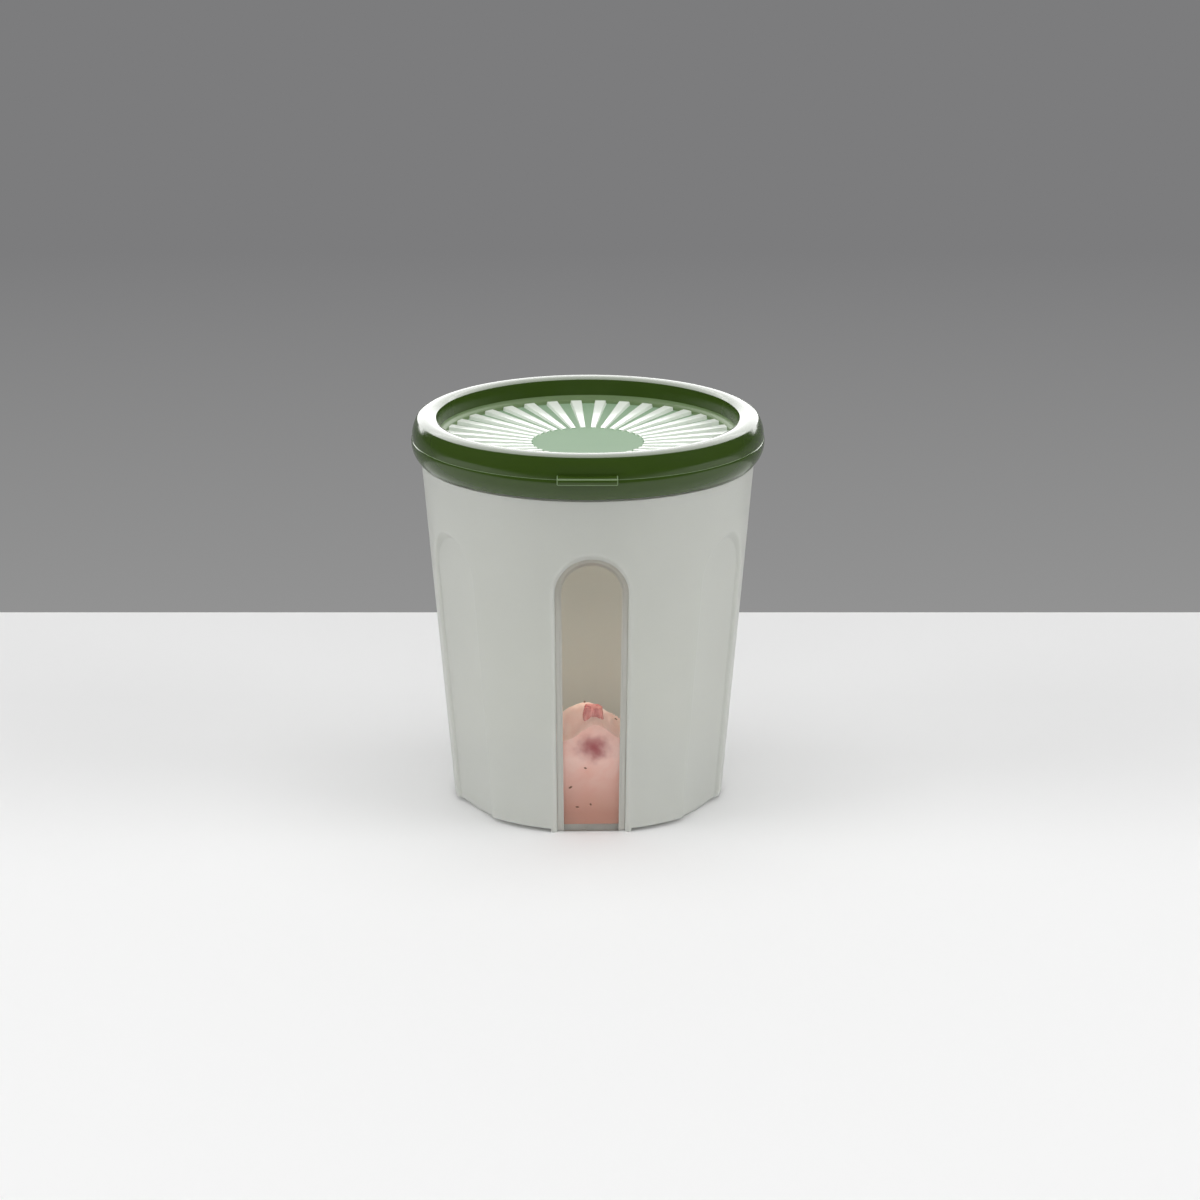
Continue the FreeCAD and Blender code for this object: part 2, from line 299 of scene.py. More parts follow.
def moulded_plastic(name, base, shade, roughness, grain, grain_depth, subsurface=0.0):
    """Injection-moulded polypropylene. Spark erosion gives it a fine grain, drawn about twice
    as coarse as it is so that it shows, and flow in the mould a faint unevenness."""
    material, tree, shader = new_material(name)
    place_on = add(tree, "ShaderNodeTexCoord").outputs["Object"]
    flow = add(tree, "ShaderNodeTexNoise", {
        "Vector": place_on, "Scale": 1 / (22 * MM), "Detail": 3.0, "Roughness": 0.5})
    tone = add(tree, "ShaderNodeMix", {
        "Factor": flow.outputs["Fac"], "A": colour(base), "B": colour(shade)}, data_type="RGBA")
    fine = add(tree, "ShaderNodeTexNoise", {
        "Vector": place_on, "Scale": 1 / (grain * MM), "Detail": 2.0, "Roughness": 0.6})
    spread = add(tree, "ShaderNodeMapRange", {
        "Value": fine.outputs["Fac"], "From Min": 0.3, "From Max": 0.7,
        "To Min": roughness - 0.03, "To Max": roughness + 0.03})
    relief = add(tree, "ShaderNodeBump", {
        "Height": fine.outputs["Fac"], "Strength": 0.35, "Distance": grain_depth * MM})
    feed(tree, shader, {
        "Base Color": tone.outputs["Result"], "Roughness": spread.outputs["Result"],
        "Normal": relief.outputs["Normal"], "IOR": 1.49, "Subsurface Weight": subsurface,
        "Subsurface Radius": (1.0, 1.0, 0.95), "Subsurface Scale": 2.5 * MM})
    return material


def cup_sheets():
    half = 180.0 / flute_count
    neck_bend = (neck_inside + cup_wall * slant - foot_radius) / slope
    inner_base = foot_radius - cup_wall * slant
    sheets = []
    under_loop, floor_loop, outer_top, inner_top = [], [], [], []
    top_rows = (row_turn <= 135.0) & (row_turn >= 45.0)
    for i in range(flute_count):
        front = i == 0
        turn = window_turn if front else i * 2 * half
        edges = (half + turn, half - turn) if front else (half, half)
        outer = flute_rows(0.0, 0.0, foot_radius, shoulder_z, wall_gap, edges, feet=front)
        inner = flute_rows(-cup_wall, flute_back_grow, inner_base, neck_bend, floor_top, edges)
        if front:
            side = on_cup(arch(0.0, -cup_wall))
            inner = [side, *inner[3:]]
            outer = [side, *outer]
            across = np.linspace(side[0], side[-1], 9)
            back = np.linspace(side[1], side[-2], 9)
            sheets.append(weave([turned(across, turn), turned(back, turn)]))
        outer = [turned(row, turn) for row in outer]
        inner = [turned(row[1:-1], turn) for row in inner]
        sheets += [weave(outer), weave(inner)]
        base = [turned(across, turn)[1:-1]] if front else []
        under_loop += [row[0] for row in outer[::-1]]
        under_loop += list(base[0]) if front else []
        under_loop += [row[-1] for row in outer[0 if front else 1:-1]]
        floor_loop += [row[0] for row in inner[::-1]]
        floor_loop += list(turned(back, turn)[1:-1]) if front else []
        floor_loop += [row[-1] for row in inner[0 if front else 1:-1]]
        outer_top += list(outer[-1][top_rows][:-1])
        inner_top += list(inner[-1][top_rows[1:-1]][:-1])
    under_loop, floor_loop = np.array(under_loop), np.array(floor_loop)
    outer_top, inner_top = np.array(outer_top), np.array(inner_top)
    reach = np.hypot(under_loop[:, 0], under_loop[:, 1])[:, None]
    away = under_loop[:, :2] / reach
    level = under_loop[:, 2:]
    outside = np.minimum(reach, ring_outside)
    flat = np.zeros_like(level)
    under = [under_loop, np.hstack([away * outside, level]), np.hstack([away * outside, flat])]
    ring = [(ring_inside, 0.0), (ring_inside, floor_under), (0.0, floor_under)]
    under += lathe(ring, under_loop)
    sheets.append(weave(under, closed=True))
    middle = floor_loop * [0.5, 0.5, 1.0]
    sheets.append(weave([floor_loop, middle, floor_loop * [0.0, 0.0, 1.0]], closed=True))
    bead_low = lip_z - bead_drop
    neck = [
        (shoulder_radius - 0.1, shoulder_z + 0.05), (neck_radius, shoulder_z + 0.05),
        (neck_radius, bead_low), (neck_radius + bead, bead_low + 2 * bead),
        (neck_radius + bead, lip_z - bead), (neck_radius, lip_z), (neck_inside, lip_z),
    ]
    sheets.append(weave([outer_top, *lathe(neck, outer_top), inner_top], closed=True))
    return sheets


cup_mesh = solid_mesh("cup", cup_sheets())
smooth(cup_mesh, 38)
cup_plastic = moulded_plastic(
    "pale grey polypropylene, spark-eroded", "#c6c8c2", "#c0c2bc", 0.42, 0.35, 0.02, 0.6)
place("cup_shell", cup_mesh, cup_plastic, ["cup"])

# ---------------------------------------------------------------------------
# The window: a clear polypropylene panel, moulded on its own and pressed into the front
# flute. A thin border lies in the wall, frosted along its straight sides; the clear bevelled
# field stands up from it and lets the lamps' light through to the yogurt.
# ---------------------------------------------------------------------------
window_gap = 0.05
window_lift = 0.2
window_edge = 0.8
window_border = 0.95
window_bevel = 0.6
window_sunk = 0.15
window_corner = 0.12
frost_fade = (-14.0, 2.0)          # the frosting clears between these heights off the spring
frost_clearest = 0.45
lamp_shadow = 0.25                 # the share of the lamps' light that the panel keeps back


def window_inside(z):
    """How far the window's inner face lies in front of the axis at this height."""
    return foot_radius + slope * z - (flute_depth + cup_wall) * slant


def window_rows():
    back = -cup_wall
    ledge = back + window_edge
    face = -window_sunk
    step = -window_gap - window_border

    def ring(grow, height):
        return arch(grow - window_gap, height, window_lift)

    def corner(grow, height, before, after):
        """A corner eased over a short way towards the outline's points before and after."""
        ends = []
        for towards in (before, after):
            away = np.array(towards) - (grow, height)
            away = away / np.hypot(*away) * window_corner
            ends.append(ring(grow + away[0], height + away[1]))
        return rounded(ends[0], ring(grow, height), ends[1], 2)

    outline = [(0.0, back), (0.0, ledge), (step, ledge), (step - window_bevel, face)]
    inward = -flute_half_foot / 2
    turns = [(inward, back), *outline, (inward, face)]
    rows = [spine(back, window_lift)]
    for i in range(1, len(turns) - 1):
        rows += corner(*turns[i], turns[i - 1], turns[i + 1])
    rows.append(spine(face, window_lift))
    return [turned(on_cup(row), window_turn) for row in rows]


def closed_foot(rows):
    """The flat lower end of a panel: a face between each pair of rows, left to right."""
    left = np.array([row[0] for row in rows])
    right = np.array([row[-1] for row in rows])
    return weave([left, right])


window_panel = window_rows()
window_mesh = solid_mesh("window", [weave(window_panel), closed_foot(window_panel)], 0.001)
smooth(window_mesh, 30)
clear_plastic, clear_tree, clear_shader = new_material("clear polypropylene, polished mould")
clear_place = add(clear_tree, "ShaderNodeTexCoord").outputs["Object"]
clear_flow = add(clear_tree, "ShaderNodeTexNoise", {
    "Vector": clear_place, "Scale": 1 / (9 * MM), "Detail": 2.0})
clear_haze = add(clear_tree, "ShaderNodeMapRange", {
    "Value": clear_flow.outputs["Fac"], "To Min": 0.02, "To Max": 0.07})
clear_path = add(clear_tree, "ShaderNodeLightPath")
clear_passing = add(clear_tree, "ShaderNodeMapRange", {
    "Value": clear_path.outputs["Is Shadow Ray"], "To Min": 1.0, "To Max": lamp_shadow})
feed(clear_tree, clear_shader, {
    "Base Color": colour("#fbfaf7"), "Transmission Weight": 1.0, "IOR": 1.49,
    "Roughness": clear_haze.outputs["Result"], "Alpha": clear_passing.outputs["Result"]})
frosted_plastic = moulded_plastic(
    "clear polypropylene, frosted border", "#c8c7c0", "#c0bfb8", 0.35, 0.5, 0.01)
frosted_tree = frosted_plastic.node_tree
frosted_place = add(frosted_tree, "ShaderNodeTexCoord").outputs["Object"]
frosted_way = add(frosted_tree, "ShaderNodeSeparateXYZ", {"Vector": frosted_place})
frosted_clearing = add(frosted_tree, "ShaderNodeMapRange", {
    "Value": frosted_way.outputs["Z"],
    "From Min": (flute_spring + frost_fade[0]) * MM,
    "From Max": (flute_spring + frost_fade[1]) * MM, "To Max": frost_clearest})
feed(frosted_tree, frosted_tree.nodes["Principled BSDF"], {
    "Transmission Weight": frosted_clearing.outputs["Result"]})
window_mesh.materials.append(clear_plastic)
window_mesh.materials.append(frosted_plastic)
face_margin = 0.02                 # off the back and off the field, a face is the border's
straighten = Matrix.Rotation(math.radians(-window_turn), 3, "Z")
for face in window_mesh.polygons:
    middle = straighten @ face.center / MM
    over_back = (-middle.y - window_inside(middle.z)) / slant
    if 5 * face_margin < over_back < cup_wall - window_sunk - face_margin:
        face.material_index = 1
place("clear_window", window_mesh, None, ["window"])

# ---------------------------------------------------------------------------
# The lid: one moulding in leaf-green polypropylene with a polished finish. Its rim is a
# rounded hoop round a sunk top with radial ribs and a centre disc. The ribs' near-white and the
# valleys' and disc's pale mint are painted reflection and painted sheen on the green, and a
# mid-green band is a painted highlight. A lifting tab stands out of the parting line at the front.
# ---------------------------------------------------------------------------
lid_low, lid_high = (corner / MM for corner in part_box("lid"))
lid_bottom = lid_low.z
lid_top = lid_high.z
lid_overhang = 2.544
lid_radius = shoulder_radius + lid_overhang
rib_count = 36
rib_share = 0.47
disc_radius = 14.5
plug_gap = 0.2                     # between the lid's plug and the inside of the neck
plug_wall = 1.4
recess_depth = 5.85
parting_height = 5.5
parting_step = 0.2                 # the skirt stands out this far below the parting line
recess_radius = neck_inside - plug_gap - plug_wall
recess_z = lid_top - recess_depth
parting_z = lid_bottom + parting_height
rib_in_z = recess_z - 1.7
disc_z = rib_in_z - 0.2
rib_depth_outer = 1.0
rib_depth_inner = 0.5
fillet_radius = 1.4
fillet_steps = 8
GREEN, VALLEY_PAINTED_SHEEN, RIB_PAINTED_REFLECTION, BAND_PAINTED_HIGHLIGHT = 0, 1, 2, 3


def bow(start, end, bulge, steps):
    """Points on a curve that leaves the straight line between two points by this much, to the
    left of the way from the first to the second."""
    (r0, z0), (r1, z1) = start, end
    length = math.hypot(r1 - r0, z1 - z0)
    side = ((z0 - z1) / length * bulge, (r1 - r0) / length * bulge)
    points = []
    for i in range(1, steps):
        s = i / steps
        lift = 4 * s * (1 - s)
        points.append((r0 + (r1 - r0) * s + side[0] * lift, z0 + (z1 - z0) * s + side[1] * lift))
    return [start, *points]


def eased(before, corner, after, radius, steps=3):
    """A corner of the section turned over this radius."""
    def towards(point):
        away = np.array(point) - corner
        return corner + away / np.hypot(*away) * radius
    share = np.linspace(0, 1, steps + 1)
    first, last = towards(before), towards(after)
    return [tuple(first * (1 - s) ** 2 + np.array(corner) * 2 * s * (1 - s) + last * s * s)
            for s in share]


def lid_section():
    """The hoop's half section, from the ribs' outer end round to under the centre."""
    edge_r = shoulder_radius + 0.75
    skirt_in = neck_radius + 0.2
    upper_r = lid_radius - parting_step
    low_r = recess_radius - 0.5
    dome_r = lid_radius - 1.6
    dome_z = lid_top - 0.75
    shoulder_z = lid_top - 4.6
    skirt_r = upper_r - 1.5
    grip_z = lid_bottom + 1.0
    hook_top = lip_z - bead_drop - 1.0
    bead_r = neck_radius + bead + 0.8
    plug_r = neck_inside - plug_gap
    wall_low = (low_r, recess_z + fillet_radius)
    inner_edge = (recess_radius, dome_z)
    outer_edge = (dome_r, dome_z)
    dome = bow(inner_edge, outer_edge, 0.75, 18)
    shoulder = bow(outer_edge, (upper_r, shoulder_z), 0.22, 10)
    section = bow((low_r - fillet_radius, recess_z), wall_low, -0.41, fillet_steps)
    section += [wall_low, (low_r + 0.2, recess_z + 3.0)]
    section += eased(wall_low, inner_edge, dome[1], 0.15, 3) + dome[1:]
    section += eased(dome[-1], outer_edge, shoulder[2], 0.25, 4) + shoulder[2:]
    section += [(upper_r, shoulder_z), (upper_r, parting_z + 0.12), (upper_r, parting_z + 0.05)]
    section += [(upper_r + 0.04, parting_z), (lid_radius - 0.03, parting_z - 0.16)]
    section += bow((lid_radius, parting_z - 0.25), (edge_r, lid_bottom + 0.15), 0.6, 12)
    section += eased((lid_radius, parting_z), (edge_r, lid_bottom), (skirt_in, lid_bottom), 0.2, 3)
    section += [
        (skirt_in, lid_bottom), (skirt_in, grip_z), (skirt_r, grip_z + 2.0),
        (skirt_r, hook_top - 1.4), (skirt_in + 0.1, hook_top - 0.6), (skirt_in + 0.1, hook_top),
        (bead_r, hook_top + 0.8), (bead_r, lip_z), (plug_r, lip_z),
        (plug_r - 0.2, recess_z - 1.2), (disc_radius, disc_z - 1.2), (0.0, disc_z - 1.2),
    ]
    return section


def lid_sector():
    """One rib's share of the whole lid, with half a valley on each side of the rib."""
    pitch = 360.0 / rib_count
    low_edge = (1 - rib_share) / 2
    wall_share = 0.014
    half = [0.0, low_edge * 0.55, low_edge - 0.03, low_edge - 0.012, low_edge,
            low_edge + wall_share, low_edge + wall_share + 0.012, low_edge + 0.045, 0.5]
    lift = [0.0, 0.0, 0.0, 0.02, 0.12, 0.9, 0.99, 1.0, 1.0]
    fractions = np.array(half + [1 - f for f in half[-2::-1]])
    lifts = np.array(lift + lift[-2::-1])
    angles = np.radians((fractions - 0.5) * pitch + FRONT + pitch / 2)
    directions = np.column_stack([np.cos(angles), np.sin(angles)])

    def row(radius, rib_z, valley_z):
        z = valley_z + (rib_z - valley_z) * lifts
        return np.column_stack([directions * radius, z])

    section = lid_section()
    outer = section[0][0] - 0.1
    rows = [row(0.0, disc_z, disc_z), row(8.0, disc_z, disc_z)]
    rows += [row(disc_radius - 0.35, disc_z, disc_z), row(disc_radius - 0.1, disc_z, disc_z)]
    for step in (0.05, 0.2):
        rows.append(row(disc_radius + step, rib_in_z - 0.04 + 0.12 * step,
                        rib_in_z - rib_depth_inner + 0.1 - 0.5 * step))
    kinds = [VALLEY_PAINTED_SHEEN] * 5
    for share in (0.03, 0.1, 0.25, 0.45, 0.65, 0.85, 0.97, 0.99):
        radius = disc_radius + (outer - disc_radius) * share
        top = rib_in_z + (recess_z - rib_in_z) * share
        depth = rib_depth_inner + (rib_depth_outer - rib_depth_inner) * share
        rows.append(row(radius, top, top - depth))
        kinds.append(RIB_PAINTED_REFLECTION)
    rows.append(row(outer - 0.05, recess_z - 0.02, recess_z - 0.85))
    rows.append(row(outer + 0.02, recess_z - 0.01, recess_z - 0.1))
    kinds += [RIB_PAINTED_REFLECTION, BAND_PAINTED_HIGHLIGHT]
    rows += [row(r, z, z) for r, z in section]
    ledge = section.index((lid_radius - parting_step, parting_z + 0.05))
    # The fillet at the foot of the recess wall and the parting ledge take the band, a painted
    # highlight.
    kinds += [BAND_PAINTED_HIGHLIGHT] * fillet_steps + [GREEN] * (ledge - fillet_steps)
    kinds += [BAND_PAINTED_HIGHLIGHT] * 2 + [GREEN] * (len(section) - ledge - 2)
    points, faces = weave(rows)
    # Faces on the ribs take the near-white painted reflection, the valleys the pale painted sheen.
    on_rib = [(lifts[j] + lifts[j + 1]) / 2 > 0.05 for j in range(len(lifts) - 1)]
    zones = [(RIB_PAINTED_REFLECTION if up else VALLEY_PAINTED_SHEEN) if kind == RIB_PAINTED_REFLECTION else kind for kind in kinds for up in on_rib]
    return points, faces, zones


def repeat_round(name, count, turn, materials):
    """A node tree that repeats a mesh about +Z and gives each zone of its faces a material."""
    tree = bpy.data.node_groups.new(name, "GeometryNodeTree")
    socket = tree.interface.new_socket
    socket("Sector", in_out="INPUT", socket_type="NodeSocketGeometry")
    count_in = socket("Count", in_out="INPUT", socket_type="NodeSocketInt")
    turn_in = socket("Turn", in_out="INPUT", socket_type="NodeSocketFloat")
    socket("Ring", in_out="OUTPUT", socket_type="NodeSocketGeometry")
    start = add(tree, "NodeGroupInput")
    line = add(tree, "GeometryNodeMeshLine", {"Count": start.outputs["Count"], "Offset": (0, 0, 0)})
    index = add(tree, "GeometryNodeInputIndex")
    angle = add(tree, "ShaderNodeMath", {
        0: index.outputs["Index"], 1: start.outputs["Turn"]}, operation="MULTIPLY")
    about = add(tree, "ShaderNodeCombineXYZ", {"Z": angle.outputs["Value"]})
    copies = add(tree, "GeometryNodeInstanceOnPoints", {
        "Points": line.outputs["Mesh"], "Instance": start.outputs["Sector"],
        "Rotation": about.outputs["Vector"]})
    last = add(tree, "GeometryNodeRealizeInstances", {"Geometry": copies.outputs["Instances"]})
    zone = add(tree, "GeometryNodeInputNamedAttribute", {"Name": "zone"}, data_type="INT")
    for number, material in enumerate(materials):
        here = add(tree, "FunctionNodeCompare", {
            2: zone.outputs["Attribute"], 3: number}, data_type="INT", operation="EQUAL")
        last = add(tree, "GeometryNodeSetMaterial", {
            "Geometry": last.outputs["Geometry"], "Selection": here.outputs["Result"],
            "Material": material})
    add(tree, "NodeGroupOutput", {"Ring": last.outputs["Geometry"]})
    return tree, {count_in.identifier: count, turn_in.identifier: turn}


def from_nodes(name, mesh, tree, values):
    """The plain mesh that a node tree makes from a mesh."""
    holder = bpy.data.objects.new(name, mesh)
    bpy.context.scene.collection.objects.link(holder)
    modifier = holder.modifiers.new(name, "NODES")
    modifier.node_group = tree
    for identifier, value in values.items():
        modifier[identifier] = value
    graph = bpy.context.evaluated_depsgraph_get()
    made = bpy.data.meshes.new_from_object(holder.evaluated_get(graph))
    holder.modifiers.remove(modifier)
    bpy.data.objects.remove(holder)
    return made


def welded(mesh, distance):
    form = bmesh.new()
    form.from_mesh(mesh)
    bmesh.ops.remove_doubles(form, verts=form.verts, dist=distance * MM)
    bmesh.ops.dissolve_degenerate(form, edges=form.edges, dist=distance * MM / 4)
    bmesh.ops.recalc_face_normals(form, faces=form.faces)
    form.to_mesh(mesh)
    form.free()


tab_half_width = 7.7
tab_reach = 1.6
tab_low = parting_z - 0.9
tab_high = tab_low + 1.7
tab_rise = 0.5
tab_root = 1.2


def add_tab(mesh):
    """The lifting tab: a block with eased edges, rooted in the skirt, joined to the lid."""
    front = -(lid_radius + tab_reach)
    root = -(lid_radius - tab_root)
    corners = [
        (x, y, z)
        for x in (-tab_half_width, tab_half_width)
        for y, z in ((root, tab_low), (front, tab_low), (front, tab_high), (root, tab_high + tab_rise))
    ]
    form = bmesh.new()
    form.from_mesh(mesh)
    made = [form.verts.new(Vector(corner) * MM) for corner in corners]
    left, right = made[:4], made[4:]
    sides = [form.faces.new(left), form.faces.new(right[::-1])]
    for i in range(4):
        j = (i + 1) % 4
        sides.append(form.faces.new((left[j], left[i], right[i], right[j])))
    for face in sides:
        face.material_index = mesh.materials.find(lid_green.name)
    edges = {e for face in sides for e in face.edges}
    front_edges = [e for e in edges if any(v.co.y < (front + 0.01) * MM for v in e.verts)]
    # The eased front edges take the mid-green band, a painted highlight.
    bmesh.ops.bevel(form, geom=front_edges, offset=0.3 * MM, segments=3, profile=0.5,
                    affect="EDGES", clamp_overlap=True,
                    material=mesh.materials.find(lid_band_painted_highlight.name))
    bmesh.ops.recalc_face_normals(form, faces=form.faces)
    form.to_mesh(mesh)
    form.free()


lid_green = moulded_plastic(
    "leaf green polypropylene, polished", "#364b16", "#304513", 0.16, 1.2, 0.004)
# Pale mint on the valleys and the disc: a painted sheen of a broad light on the green plastic.
lid_pale_painted_sheen = moulded_plastic(
    "green polypropylene, painted pale sheen", "#98b396", "#90ab8e", 0.6, 0.4, 0.02)
lid_pale_painted_sheen.node_tree.nodes["Principled BSDF"].inputs["Specular IOR Level"].default_value = 0.05
# Near-white on the ribs: a painted reflection of a bright light on the green gloss.
lid_rib_painted_reflection = moulded_plastic(
    "green polypropylene, painted white reflection", "#f8fdf5", "#f3faf0", 0.2, 1.2, 0.004)
# Mid green on the recess's edge fillet, the parting ledge and the tab's edges: a painted highlight.
lid_band_painted_highlight = moulded_plastic(
    "green polypropylene, painted highlight band", "#70875b", "#687f54", 0.45, 0.6, 0.01)
sector_points, sector_faces, sector_zones = lid_sector()
sector_mesh = bpy.data.meshes.new("lid_sector")
sector_mesh.from_pydata((sector_points * MM).tolist(), [], sector_faces)
zone_layer = sector_mesh.attributes.new("zone", "INT", "FACE")
zone_layer.data.foreach_set("value", sector_zones)
lid_tree, lid_values = repeat_round(
    "ribs round the lid", rib_count, math.radians(360.0 / rib_count),
    [lid_green, lid_pale_painted_sheen, lid_rib_painted_reflection, lid_band_painted_highlight])
lid_mesh = from_nodes("lid", sector_mesh, lid_tree, lid_values)
welded(lid_mesh, 0.003)
add_tab(lid_mesh)
smooth(lid_mesh, 35)
place("lid_hoop_and_ribs", lid_mesh, None, ["lid"])

# ---------------------------------------------------------------------------
# The yogurt: stirred strawberry yogurt spooned in, so it lies in soft mounds and clings to
# the window. It reaches just into the wall and the panel, so no air gap shows.
# ---------------------------------------------------------------------------
fill_level = 25.0
fill_fall = 0.29
fill_into_wall = 0.12
wave_height = 0.5
mounds = [
    (1.2, 8.5, 10.0, 6.5),
    (-6.0, 8.5, 3.2, 4.5),
    (10.0, 6.0, 2.4, 4.5),
    (2.0, 0.0, 2.6, 4.5),
    (-13.0, 20.0, 1.5, 8.0),
    (14.0, 34.0, 1.5, 9.0),
]


def fill_height(x, y):
    """The level: heaped behind the window in soft mounds and falling to the back."""
    behind = y + window_inside(fill_level)
    height = fill_level - fill_fall * behind
    height += wave_height * math.sin(x * 0.42 + 0.6) * math.cos(y * 0.36 - 0.4)
    for mound_x, mound_behind, rise, spread in mounds:
        away = (x - mound_x) ** 2 + (behind - mound_behind) ** 2
        height += rise * math.exp(-away / spread ** 2)
    return height


def stirred(x, y):
    """The spoon's ridges and the small lumps, on top of the mounds."""
    broad = noise.noise(Vector((x * 0.16, y * 0.16, 3.1)))
    fold = 1 - abs(noise.noise(Vector((x * 0.33 + broad, y * 0.33, 7.7)))) * 2
    fine = noise.noise(Vector((x * 1.1, y * 1.1, 1.9)))
    return 0.45 * broad + 0.5 * fold ** 3 + 0.14 * fine


def wall_reach(angle, z):
    """From the axis out to the cup's inner wall, its flutes' backs included."""
    pitch = 360.0 / flute_count
    nearest = window_turn if abs(angle - window_turn) <= pitch / 2 else pitch * round(angle / pitch)
    turn = abs(math.radians(angle - nearest))
    across = flute_half_foot + flute_back_grow
    across += (flute_half_arch - flute_half_foot) * (z + CLEAR) / (flute_spring + CLEAR)
    panel = window_inside(z)
    reach = panel / math.cos(turn)
    if reach * math.sin(turn) > across:
        reach = (panel - across) / (math.cos(turn) - math.sin(turn))
    return min(reach, foot_radius + slope * z - cup_wall * slant) + fill_into_wall


def yogurt_sheets():
    near = [window_turn + step * 0.3 for step in range(-66, 67)]
    far = np.linspace(near[-1], near[0] + 360.0, 151)[1:-1]
    angles = near + [a if a <= 180 else a - 360 for a in far]
    bottom = floor_top - fill_into_wall
    heights = []
    for angle in angles:
        z = fill_level
        for _ in range(6):
            reach = wall_reach(angle, z)
            a = math.radians(FRONT + angle)
            x, y = reach * math.cos(a), reach * math.sin(a)
            z = fill_height(x, y) + 0.3 * stirred(x, y)
        heights.append(z)
    rows = []
    for share in np.linspace(0, 1, 50):
        row = []
        for angle, top in zip(angles, heights):
            z = bottom + (top - bottom) * share
            reach = wall_reach(angle, z)
            a = math.radians(FRONT + angle)
            row.append((reach * math.cos(a), reach * math.sin(a), z))
        rows.append(np.array(row))
    rim = rows[-1]
    for share in 1 - np.linspace(0, 1, 70)[1:] ** 0.8:
        row = []
        for x, y, z in rim:
            u, v = x * share, y * share
            edge = min(1.0, (1 - share) * 12)
            top = fill_height(u, v) + (0.3 + 0.7 * edge) * stirred(u, v)
            row.append((u, v, z * (1 - edge) + top * edge))
        rows.append(np.array(row))
    floor = rows[0] * [0.5, 0.5, 1.0]
    return [weave([rows[0] * [0, 0, 1.0], floor, *rows], closed=True)]


yogurt_mesh = solid_mesh("yogurt", yogurt_sheets(), 0.002)
smooth(yogurt_mesh, 60)

yogurt_fruit, yogurt_tree, yogurt_shader = new_material("stirred strawberry yogurt")
yogurt_place = add(yogurt_tree, "ShaderNodeTexCoord").outputs["Object"]
swirl = add(yogurt_tree, "ShaderNodeTexNoise", {
    "Vector": yogurt_place, "Scale": 1 / (8 * MM), "Detail": 4.0, "Roughness": 0.55,
    "Distortion": 0.6})
swirl_tone = add(yogurt_tree, "ShaderNodeMapRange", {
    "Value": swirl.outputs["Fac"], "From Min": 0.38, "From Max": 0.64})
cream = add(yogurt_tree, "ShaderNodeMix", {
    "Factor": swirl_tone.outputs["Result"], "A": colour("#fcd9cf"), "B": colour("#f8c7ba")},
    data_type="RGBA")
height_on = add(yogurt_tree, "ShaderNodeSeparateXYZ", {"Vector": yogurt_place})
# The yogurt turns darker and browner towards the bottom.
toward_bottom = add(yogurt_tree, "ShaderNodeMapRange", {
    "Value": height_on.outputs["Z"], "From Min": 20 * MM, "From Max": 5 * MM})
darker_toward_bottom = add(yogurt_tree, "ShaderNodeMix", {
    "Factor": toward_bottom.outputs["Result"], "A": cream.outputs["Result"], "B": colour("#cc9886")},
    data_type="RGBA")
front_low, front_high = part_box("strawberry_front")
berry_middle = (front_low + front_high) / 2
berry_offset = add(yogurt_tree, "ShaderNodeVectorMath", {
    0: yogurt_place, 1: tuple(berry_middle)}, operation="SUBTRACT")
berry_warp = add(yogurt_tree, "ShaderNodeTexNoise", {
    "Vector": yogurt_place, "Scale": 1 / (4 * MM), "Detail": 4.0})
berry_squash = add(yogurt_tree, "ShaderNodeVectorMath", {
    0: berry_offset.outputs["Vector"], 1: (0.8, 0.35, 1.0)}, operation="MULTIPLY")
berry_away = add(yogurt_tree, "ShaderNodeVectorMath", {
    0: berry_squash.outputs["Vector"]}, operation="LENGTH")
berry_reach = add(yogurt_tree, "ShaderNodeMath", {
    0: berry_warp.outputs["Fac"], 1: 5.5 * MM, 2: berry_away.outputs["Value"]},
    operation="MULTIPLY_ADD")
stain = add(yogurt_tree, "ShaderNodeMapRange", {
    "Value": berry_reach.outputs["Value"], "From Min": 8.0 * MM, "From Max": 2.6 * MM},
    interpolation_type="SMOOTHSTEP")
stained = add(yogurt_tree, "ShaderNodeMix", {
    "Factor": stain.outputs["Result"], "A": darker_toward_bottom.outputs["Result"],
    "B": colour("#9c2b3a")}, data_type="RGBA")
yogurt_grain = add(yogurt_tree, "ShaderNodeTexNoise", {
    "Vector": yogurt_place, "Scale": 1 / (0.9 * MM), "Detail": 3.0})
yogurt_relief = add(yogurt_tree, "ShaderNodeBump", {
    "Height": yogurt_grain.outputs["Fac"], "Strength": 0.4, "Distance": 0.12 * MM})
feed(yogurt_tree, yogurt_shader, {
    "Base Color": stained.outputs["Result"], "Normal": yogurt_relief.outputs["Normal"],
    "Roughness": 0.32, "IOR": 1.37, "Subsurface Weight": 0.2,
    "Subsurface Radius": (1.0, 0.5, 0.4), "Subsurface Scale": 1.2 * MM})
place("yogurt_fill", yogurt_mesh, yogurt_fruit, ["yogurt"])

